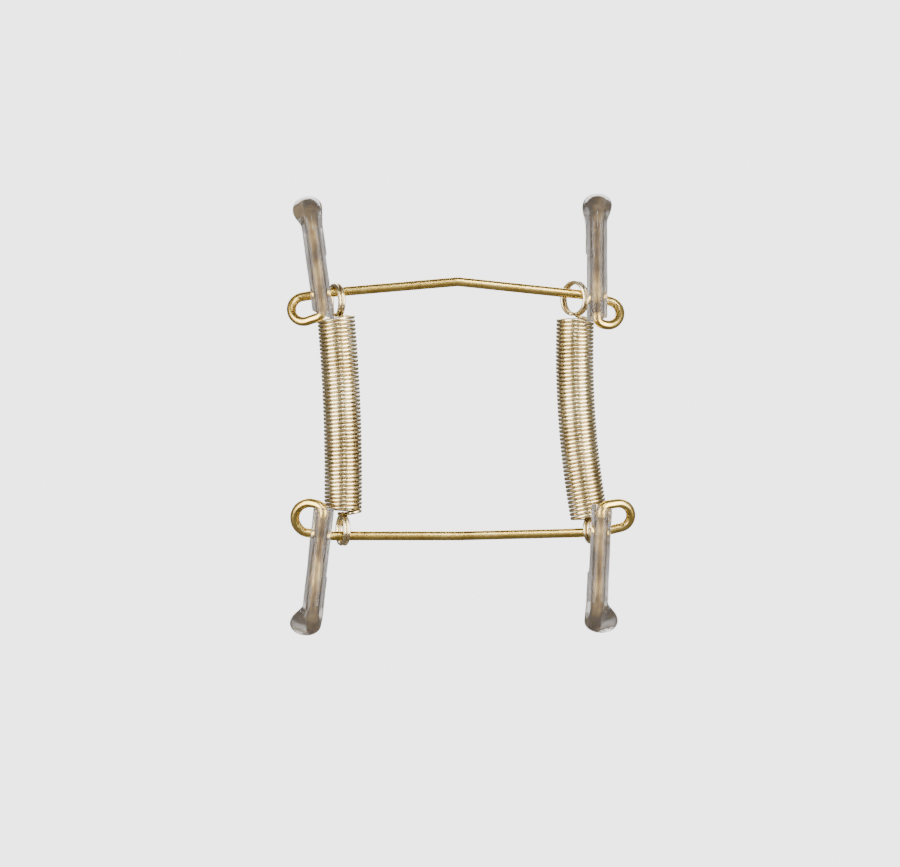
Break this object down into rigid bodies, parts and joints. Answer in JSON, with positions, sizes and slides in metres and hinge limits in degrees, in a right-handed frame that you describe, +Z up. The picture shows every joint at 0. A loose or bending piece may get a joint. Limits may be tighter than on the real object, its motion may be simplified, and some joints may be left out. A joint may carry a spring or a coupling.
{
  "type": "wire plate hanger",
  "caption": "Sprung wire wall hanger for a plate: bent brass-coloured wires with clear-sleeved rim hooks, drawn together by extension springs.",
  "frame": {"origin": "the nail's seat, under the peak of the top wire", "axes": "+Z up the wall, +X to the right as seen from the wall side, +Y towards the plate"},
  "size_m": [0.0528, 0.0112, 0.0671],
  "materials": {
    "brass_wire": "bright brass-plated steel wire",
    "spring_wire": "pale brass-plated spring wire",
    "clear_vinyl": "clear soft vinyl, slightly cloudy"
  },
  "bodies": {
    "top_frame": {"top_wire": "brass_wire", "sleeve_top_left": "clear_vinyl", "sleeve_top_right": "clear_vinyl"},
    "spring_upper": {"spring_left": "spring_wire"},
    "spring_lower": {"spring_right": "spring_wire"},
    "bottom_frame": {"bottom_wire": "brass_wire", "sleeve_bottom_left": "clear_vinyl", "sleeve_bottom_right": "clear_vinyl"}
  },
  "joints": [
    {"name": "top_swing", "type": "hinge", "parent": "top_frame", "child": "spring_upper", "pos_m": [0, 0, -0.00098], "axis": [1, 0, 0], "range_deg": [0, 90]},
    {"name": "stretch", "type": "slide", "parent": "spring_upper", "child": "spring_lower", "axis": [0, 0, -1], "range_m": [0, 0.06], "stiffness_N_per_m": 277, "springref_m": -0.01, "deforming": ["spring_left", "spring_right"]},
    {"name": "bottom_swing", "type": "hinge", "parent": "spring_lower", "child": "bottom_frame", "pos_m": [0, 0, -0.03756], "axis": [1, 0, 0], "range_deg": [0, 90]}
  ]
}
